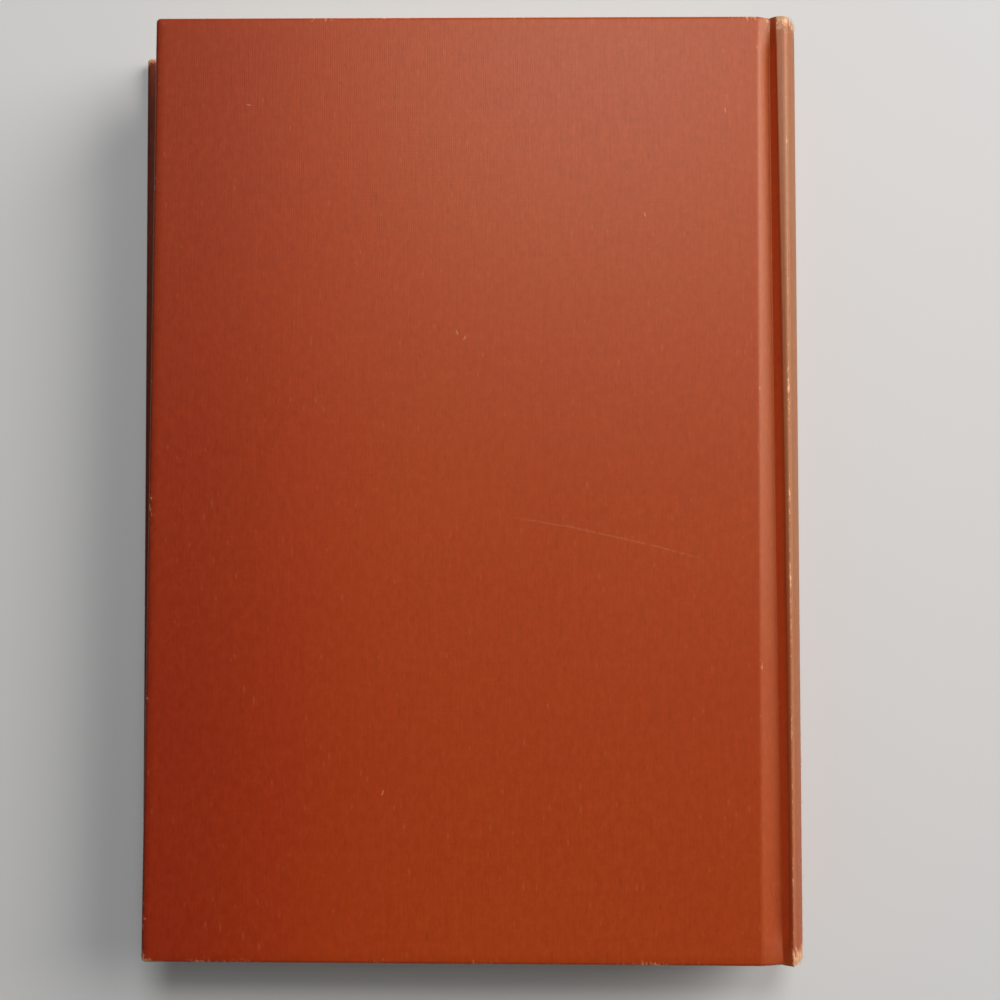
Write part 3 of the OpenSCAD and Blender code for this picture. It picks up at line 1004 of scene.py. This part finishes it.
red_cloth = book_cloth("book_cloth")
marked_cloth = book_cloth("marked_book_cloth", marked=True)
# The spine's sun-faded cloth, with its tone lowered as painted shade
faded_cloth_painted_shade = book_cloth("faded_book_cloth", 0.55, tone=0.82)
paper = old_paper("aged_paper", srgb(230, 217, 185), srgb(219, 200, 160), srgb(186, 152, 102))
leaf_paper = old_paper(
    "leaf_paper", srgb(222, 206, 170), srgb(196, 170, 124), srgb(170, 132, 84), (0.1, 0.1, 2.3))
board = plain_fibre("binders_board", srgb(146, 130, 106), srgb(104, 90, 70), 700)
gauze = plain_fibre("gauze", srgb(212, 202, 178), srgb(160, 148, 120), 1400)
band = plain_fibre("endband_cloth", srgb(214, 184, 112), srgb(160, 124, 66), 900)
broken_thread = plain_fibre("broken_thread", srgb(206, 152, 100), srgb(170, 96, 56), 900)
band_thread = striped_thread()

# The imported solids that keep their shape

for names, material in (
    (("spine_lining",), leaf_paper),
    (("front_board", "back_board", "spine_inlay"), board),
    (("front_mull_wing", "back_mull_wing"), gauze),
    (("head_band", "tail_band"), band),
):
    for name in names:
        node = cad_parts[name]
        node.data.materials.clear()
        node.data.materials.append(material)

# The case's cloth, the endpapers and the gauze

for side, cover in ((1, "back"), (-1, "front")):
    cloth = cover_cloth(side).piece(
        f"{cover}_case_cloth", marked_cloth if side > 0 else red_cloth, CLOTH_T, turned=side < 0)
    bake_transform(cloth)
    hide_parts(f"{cover}_joint_cloth", f"{cover}_cover_cloth")
    pasted = endpaper(side).piece(f"{cover}_endpaper", paper, PAPER_T * UNDER_NEXT, turned=side > 0)
    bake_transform(pasted)
    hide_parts(f"{cover}_pastedown")
    leaf = free_leaf(side).piece(f"{cover}_free_leaf", paper, PAPER_T * UNDER_NEXT, turned=side > 0)
    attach(leaf, "text_block")
    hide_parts(f"{cover}_flyleaf")

    strip = gauze_joint(side).piece(f"{cover}_gauze_joint", gauze, GAUZE_T * UNDER_NEXT, turned=side > 0)
    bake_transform(strip)
    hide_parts("mull")

gauze_on_folds = gauze_back().piece("gauze_on_folds", gauze, GAUZE_T * UNDER_NEXT, turned=True)
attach(gauze_on_folds, "text_block")
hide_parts("mull")

spine = spine_cloth().piece("spine_case_cloth", faded_cloth_painted_shade, CLOTH_T, turned=True)
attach(spine, "text_block")
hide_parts("spine_cloth")


# Geometry node trees, for what repeats

GEOMETRY, INTEGER, MATERIAL = "NodeSocketGeometry", "NodeSocketInt", "NodeSocketMaterial"


def random_float(bench, low, high, seed, number=None):
    inputs = {2: low, 3: high, "Seed": seed}
    if number is not None:
        inputs["ID"] = number
    return bench.value(1, "FunctionNodeRandomValue", inputs, data_type="FLOAT")


def made(bench, kind, inputs=(), **settings):
    """What a geometry node makes."""
    return bench.value(0, kind, inputs, **settings)


def coated(bench, geometry, given):
    """Real geometry from instances, with the tree's material."""
    real = made(bench, "GeometryNodeRealizeInstances", {"Geometry": geometry})
    return made(bench, "GeometryNodeSetMaterial", {"Geometry": real, "Material": given["Material"]})


def marked_points(bench, geometry, name, value):
    """The geometry with a value kept on its points as an attribute."""
    inputs = {"Geometry": geometry, "Name": name, "Value": value}
    return made(bench, "GeometryNodeStoreNamedAttribute", inputs, data_type="FLOAT", domain="POINT")


def circle(bench, radius, sides):
    inputs = {"Resolution": sides, "Radius": radius}
    return made(bench, "GeometryNodeCurvePrimitiveCircle", inputs, mode="RADIUS")


def thread_tube(bench, curve, thickness, sides):
    """A closed tube round a curve."""
    inputs = {"Curve": curve, "Profile Curve": circle(bench, thickness, sides), "Fill Caps": True}
    return made(bench, "GeometryNodeCurveToMesh", inputs)


def facing(bench, way):
    """The turn of an instance whose Z points a way."""
    return bench.value(0, "FunctionNodeAlignRotationToVector", {"Vector": way}, axis="Z")


def stacked_leaves():
    """Leaves that lie flat at the fore edge and fan out round the backed spine, sewn in sections."""
    tree, bench, given = new_group(
        "stacked_leaves", "GeometryNodeTree",
        [("Geometry", GEOMETRY), ("Leaves", INTEGER, 144), ("Leaves in section", FLOAT, 8),
         ("Lowest", FLOAT), ("Highest", FLOAT), ("Low angle", FLOAT), ("High angle", FLOAT),
         ("Arc X", FLOAT), ("Arc Z", FLOAT), ("Folds radius", FLOAT), ("Section depth", FLOAT, 0.25 * MM),
         ("Leaf width", FLOAT), ("Leaf height", FLOAT), ("Leaf thickness", FLOAT, 0.11 * MM),
         ("Unevenness", FLOAT, 0.12 * MM), ("Seed", INTEGER, 3), ("Material", MATERIAL)],
        [("Geometry", GEOMETRY)],
    )
    points = made(bench, "GeometryNodeMeshLine", {"Count": given["Leaves"], "Offset": (0, 0, 0)})
    points = marked_points(bench, points, "leaf", made(bench, "GeometryNodeInputIndex"))
    strip = made(bench, "GeometryNodeMeshCube", {
        "Size": (1, 1, 1), "Vertices X": 15, "Vertices Y": 2, "Vertices Z": 2,
    })
    leaves = made(bench, "GeometryNodeInstanceOnPoints", {"Points": points, "Instance": strip})
    leaves = made(bench, "GeometryNodeRealizeInstances", {"Geometry": leaves})

    number = made(bench, "GeometryNodeInputNamedAttribute", {"Name": "leaf"}, data_type="FLOAT")
    share = (number + 0.5) / given["Leaves"]
    strip_x, strip_y, strip_z = bench.parts(made(bench, "GeometryNodeInputPosition"))
    across = bench.math("POWER", strip_x + 0.5, 0.6)
    rest_z = share * (given["Highest"] - given["Lowest"]) + given["Lowest"]

    angle = share * (given["High angle"] - given["Low angle"]) + given["Low angle"]
    in_section = bench.math("FRACT", (number + 0.5) / given["Leaves in section"])
    hump = 1 - bench.math("SINE", in_section * math.pi)
    radius = given["Folds radius"] - hump * given["Section depth"]
    fold_x = radius * bench.math("COSINE", angle) + given["Arc X"]
    fold_z = radius * bench.math("SINE", angle) + given["Arc Z"]

    drop = rest_z - given["Arc Z"]
    hollow = bench.math("SQRT", given["Folds radius"] * given["Folds radius"] - drop * drop)
    uneven = random_float(bench, 0, given["Unevenness"], given["Seed"], number)
    fore_x = given["Arc X"] - given["Leaf width"] + hollow + uneven
    x = across * (fold_x - fore_x) + fore_x

    bend_run = share * (1 - share) * (40 * MM) + 1.9 * MM
    past_bend = (x - (fold_x - bend_run)) / bend_run
    rise = bench.math("POWER", bench.math("MAXIMUM", past_bend, 0), 2)
    thickness = given["Leaf thickness"] * (rise * 0.35 + 1)
    z = strip_z * thickness + (rise * (fold_z - rest_z) + rest_z)

    shorter = random_float(bench, given["Unevenness"] * -1, 0, given["Seed"] + 1, number)
    y = strip_y * (given["Leaf height"] + shorter)
    leaves = made(bench, "GeometryNodeSetPosition", {"Geometry": leaves, "Position": bench.joined(x, y, z)})
    tone = random_float(bench, 0, 0.7, given["Seed"] + 2, number)
    bench.give(Geometry=coated(bench, marked_points(bench, leaves, "rub", tone), given))
    return tree


def wound_thread():
    """Rings of thread round a bead, along the line of the base mesh."""
    tree, bench, given = new_group(
        "wound_thread", "GeometryNodeTree",
        [("Geometry", GEOMETRY), ("Rings", INTEGER, 60), ("Ring radius", FLOAT), ("Thread radius", FLOAT),
         ("Material", MATERIAL)],
        [("Geometry", GEOMETRY)],
    )
    line = made(bench, "GeometryNodeMeshToCurve", {"Mesh": given["Geometry"]})
    line = made(bench, "GeometryNodeResampleCurve", {"Curve": line, "Count": given["Rings"]})
    pair = bench.math("FLOOR", made(bench, "GeometryNodeInputIndex") / 2)
    line = marked_points(bench, line, "stripe", bench.math("MODULO", pair, 2))
    ring = thread_tube(bench, circle(bench, given["Ring radius"], 12), given["Thread radius"], 5)
    turn = facing(bench, made(bench, "GeometryNodeInputTangent"))
    rings = made(bench, "GeometryNodeInstanceOnPoints", {"Points": line, "Instance": ring, "Rotation": turn})
    bench.give(Geometry=coated(bench, rings, given))
    return tree


def frayed_fibres():
    """Short broken fibres along the lines of the base mesh, on the side its outward attribute points to."""
    tree, bench, given = new_group(
        "frayed_fibres", "GeometryNodeTree",
        [("Geometry", GEOMETRY), ("Spacing", FLOAT, 0.3 * MM), ("Kept share", FLOAT, 0.5),
         ("Fibre length", FLOAT, 0.8 * MM), ("Fibre radius", FLOAT, 0.03 * MM), ("Spread", FLOAT, 0.3 * MM),
         ("Tangle", FLOAT, 1), ("Seed", INTEGER, 1), ("Material", MATERIAL)],
        [("Geometry", GEOMETRY)],
    )

    def scatter(amount, offset):
        """A random vector of at most an amount each way."""
        shake = bench.value(0, "FunctionNodeRandomValue", {
            0: (-1, -1, -1), 1: (1, 1, 1), "Seed": given["Seed"] + offset,
        }, data_type="FLOAT_VECTOR")
        return bench.vector("MULTIPLY", bench.joined(amount, amount, amount), shake)

    line = made(bench, "GeometryNodeMeshToCurve", {"Mesh": given["Geometry"]})
    spaced = {"Curve": line, "Length": given["Spacing"]}
    line = made(bench, "GeometryNodeResampleCurve", spaced, mode="LENGTH")
    line = made(bench, "GeometryNodeSetPosition", {"Geometry": line, "Offset": scatter(given["Spread"], 1)})
    way = made(bench, "GeometryNodeInputNamedAttribute", {"Name": "outward"}, data_type="FLOAT_VECTOR")
    way = bench.vector("ADD", way, scatter(given["Tangle"], 2))
    fibre = made(bench, "GeometryNodeCurveQuadraticBezier", {
        "Resolution": 4, "Start": (0, 0, -0.15), "Middle": (0.35, 0, 0.5), "End": (0.1, 0.3, 1),
    })
    scale = bench.joined(*[given["Fibre length"]] * 3)
    fibre = made(bench, "GeometryNodeTransform", {"Geometry": fibre, "Scale": scale})
    kept = bench.value(3, "FunctionNodeRandomValue", {
        "Probability": given["Kept share"], "Seed": given["Seed"],
    }, data_type="BOOLEAN")
    fibres = made(bench, "GeometryNodeInstanceOnPoints", {
        "Points": line, "Instance": thread_tube(bench, fibre, given["Fibre radius"], 3), "Selection": kept,
        "Rotation": facing(bench, way), "Scale": random_float(bench, 0.35, 1, given["Seed"] + 3),
    })
    bench.give(Geometry=coated(bench, fibres, given))
    return tree


def grown(name, tree, values, base=None):
    """A piece made by a geometry node tree from a base mesh, as its own plain mesh."""
    piece = bpy.data.objects.new(name, base or bpy.data.meshes.new(name))
    bpy.context.scene.collection.objects.link(piece)
    modifier = piece.modifiers.new(tree.name, "NODES")
    modifier.node_group = tree
    sockets = {item.name: item.identifier for item in tree.interface.items_tree if item.in_out == "INPUT"}
    for label, value in values.items():
        modifier[sockets[label]] = value
    return baked(piece)


def line_mesh(name, lines):
    """A mesh of plain lines, each a list of places with the way that faces outward there."""
    points, ways, edges = [], [], []
    for line in lines:
        edges += [(len(points) + i, len(points) + i + 1) for i in range(len(line) - 1)]
        points += [place for place, _ in line]
        ways += [way for _, way in line]
    mesh = bpy.data.meshes.new(name)
    mesh.from_pydata(points, edges, [])
    flat_ways = [part for way in ways for part in way]
    mesh.attributes.new("outward", "FLOAT_VECTOR", "POINT").data.foreach_set("vector", flat_ways)
    return mesh


leaf_tree, winding_tree, fray_tree = stacked_leaves(), wound_thread(), frayed_fibres()

# The leaves and the endbands' thread

fold_angle = {side: angle_of(shoulder_path(side, END[side], OVER_LEAVES)[-1]) for side in (1, -1)}
leaves_low = CLOTH_T + BOARD_T + 2 * PAPER_T + CLOTH_T
leaf_stack = grown("leaf_stack", leaf_tree, {
    "Leaves": SECTIONS * LEAVES_IN_SECTION,
    "Leaves in section": float(LEAVES_IN_SECTION),
    "Lowest": leaves_low,
    "Highest": BOOK_T - leaves_low,
    "Low angle": fold_angle[-1],
    "High angle": fold_angle[1],
    "Arc X": float(ARC[0]),
    "Arc Z": float(ARC[1]),
    "Folds radius": FOLDS_R,
    "Leaf width": LEAF_W,
    "Leaf height": LEAF_H,
    "Material": leaf_paper,
})
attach(leaf_stack, "text_block")
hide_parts("leaves")

BEAD_PATH_R = FOLDS_R + GAUZE_T - BEAD_R
bead_angles = np.linspace(ARC_END[-1] + BAND_INSET / SPINE_R, ARC_END[1] - BAND_INSET / SPINE_R, 40)
for end, name in ((1, "head"), (-1, "tail")):
    bead_y = end * (LEAF_H / 2 + BEAD_R)
    bead = [((p[0], bead_y, p[1]), (0, end, 0)) for p in (on_arc(BEAD_PATH_R, a) for a in bead_angles)]
    stitches = grown(f"{name}_band_stitches", winding_tree, {
        "Rings": 96,
        "Ring radius": BEAD_R - 0.02 * MM,
        "Thread radius": 0.12 * MM,
        "Material": band_thread,
    }, line_mesh(f"{name}_bead", [bead]))
    stitches.data.shade_smooth()
    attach(stitches, "text_block")

# Frayed fibres


def cap_line(end, reach, count=24):
    """The spine cloth's fold at head or tail, from the back ridge to a share of the arc."""
    line = []
    for share in np.linspace(0, reach, count):
        angle = ARC_END[1] + (ARC_END[-1] - ARC_END[1]) * share
        x, z = on_arc(SPINE_R - 0.25 * MM, angle)
        line.append(((x, end * (HALF_H - 0.1 * MM), z), (0.3 * math.cos(angle), end, 0.3 * math.sin(angle))))
    return line


def spine_line(share, low, high, count=30):
    """A line down the spine at a share of the arc from the back ridge."""
    angle = ARC_END[1] + (ARC_END[-1] - ARC_END[1]) * share
    x, z = on_arc(SPINE_R - 0.03 * MM, angle)
    way = (0.35 * math.cos(angle), 1, 0.35 * math.sin(angle))
    return [((x, y, z), way) for y in np.linspace(low, high, count)]


def edge_line(side, start, finish, away, count=12):
    """A line at the level of a cover's outer face, from one place to another."""
    z = level(side, 0.35 * MM)
    places = [np.array(start) + (np.array(finish) - start) * share for share in np.linspace(0, 1, count)]
    return [((*place, z), (*away, 0.4 * side)) for place in places]


def fore_line(side, start, finish):
    """A line just inside a cover's fore edge at its head."""
    x = fore_edge(side, HALF_H) + 0.3 * MM
    return edge_line(side, (x, start), (x, finish), (-1, 0))


def tail_line(start, finish):
    """A line just inside the back cover's tail edge, between two distances from its fore edge."""
    y = -HALF_H + 0.2 * MM
    return edge_line(1, (back_low.x + start, y), (back_low.x + finish, y), (0, -1))


frays = (
    ("head_cap_fray", "text_block", [cap_line(1, 0.75)], {"Kept share": 0.75, "Fibre length": 0.7 * MM}),
    ("tail_cap_fray", "text_block", [cap_line(-1, 0.7)], {"Kept share": 0.6, "Fibre length": 0.6 * MM}),
    ("spine_fray", "text_block", [spine_line(0.03, -0.095, 0.03), spine_line(0.12, -0.1, -0.05)],
     {"Kept share": 0.45, "Fibre length": 0.7 * MM, "Spacing": 0.6 * MM, "Tangle": 0.4}),
    ("back_cover_fray", "back_cover", [
        fore_line(1, -HALF_H + 6 * MM, -HALF_H + 0.6 * MM),
        tail_line(1 * MM, 42 * MM),
        tail_line(92 * MM, 112 * MM),
        fore_line(1, HALF_H - 8 * MM, HALF_H - 1 * MM),
    ], {"Kept share": 0.25, "Fibre length": 0.3 * MM, "Spacing": 0.4 * MM, "Spread": 0.2 * MM,
        "Tangle": 1.8}),
    ("front_cover_fray", "front_cover", [fore_line(-1, HALF_H - 14 * MM, HALF_H - 1 * MM)],
     {"Kept share": 0.4, "Fibre length": 0.4 * MM, "Spread": 0.2 * MM}),
)
for number, (name, body, lines, values) in enumerate(frays):
    values = {"Seed": 10 * number, "Material": broken_thread, **values}
    fray = grown(name, fray_tree, values, line_mesh(name, lines))
    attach(fray, body)

# Floor, camera and lights

floor_material, floor_shader, _ = new_material("pale_floor", 0.9, 0.1)
floor_shader.inputs["Base Color"].default_value = srgb(206, 205, 204)
bpy.ops.mesh.primitive_plane_add(size=6, location=(0, 0, 0))
floor = bpy.context.object
floor.name = "floor"
floor.data.materials.append(floor_material)

camera_data = bpy.data.cameras.new("camera")
camera_data.lens = 43.2
camera_data.sensor_width = 36
camera_data.clip_start = 0.01
camera = bpy.data.objects.new("camera", camera_data)
camera.location = (0.021485, -0.016653, 0.289109)
camera.rotation_euler = (0.04786, 0.0136, 0.00253)
bpy.context.scene.collection.objects.link(camera)
bpy.context.scene.camera = camera


def area_light(name, place, aim, size, power, colour):
    data = bpy.data.lights.new(name, "AREA")
    data.shape = "RECTANGLE"
    data.size, data.size_y = size
    data.energy = power
    data.color = colour
    light = bpy.data.objects.new(name, data)
    light.location = place
    light.rotation_euler = (Vector(aim) - Vector(place)).to_track_quat("-Z", "Y").to_euler()
    bpy.context.scene.collection.objects.link(light)


area_light("window", (1.2, 0.6, 0.72), (0, 0, 0.02), (1.0, 1.4), 30, (1, 0.97, 0.93))
area_light("softbox", (0.13, 0.61, 1.03), (0.03, 0.05, 0.02), (0.35, 0.35), 6.2, (0.97, 0.98, 1))
world = bpy.data.worlds.new("room")
bpy.context.scene.world = world
world.use_nodes = True
world.node_tree.nodes["Background"].inputs["Color"].default_value = (0.9, 0.95, 1, 1)
world.node_tree.nodes["Background"].inputs["Strength"].default_value = 0.11
bpy.context.scene.view_settings.view_transform = "Standard"
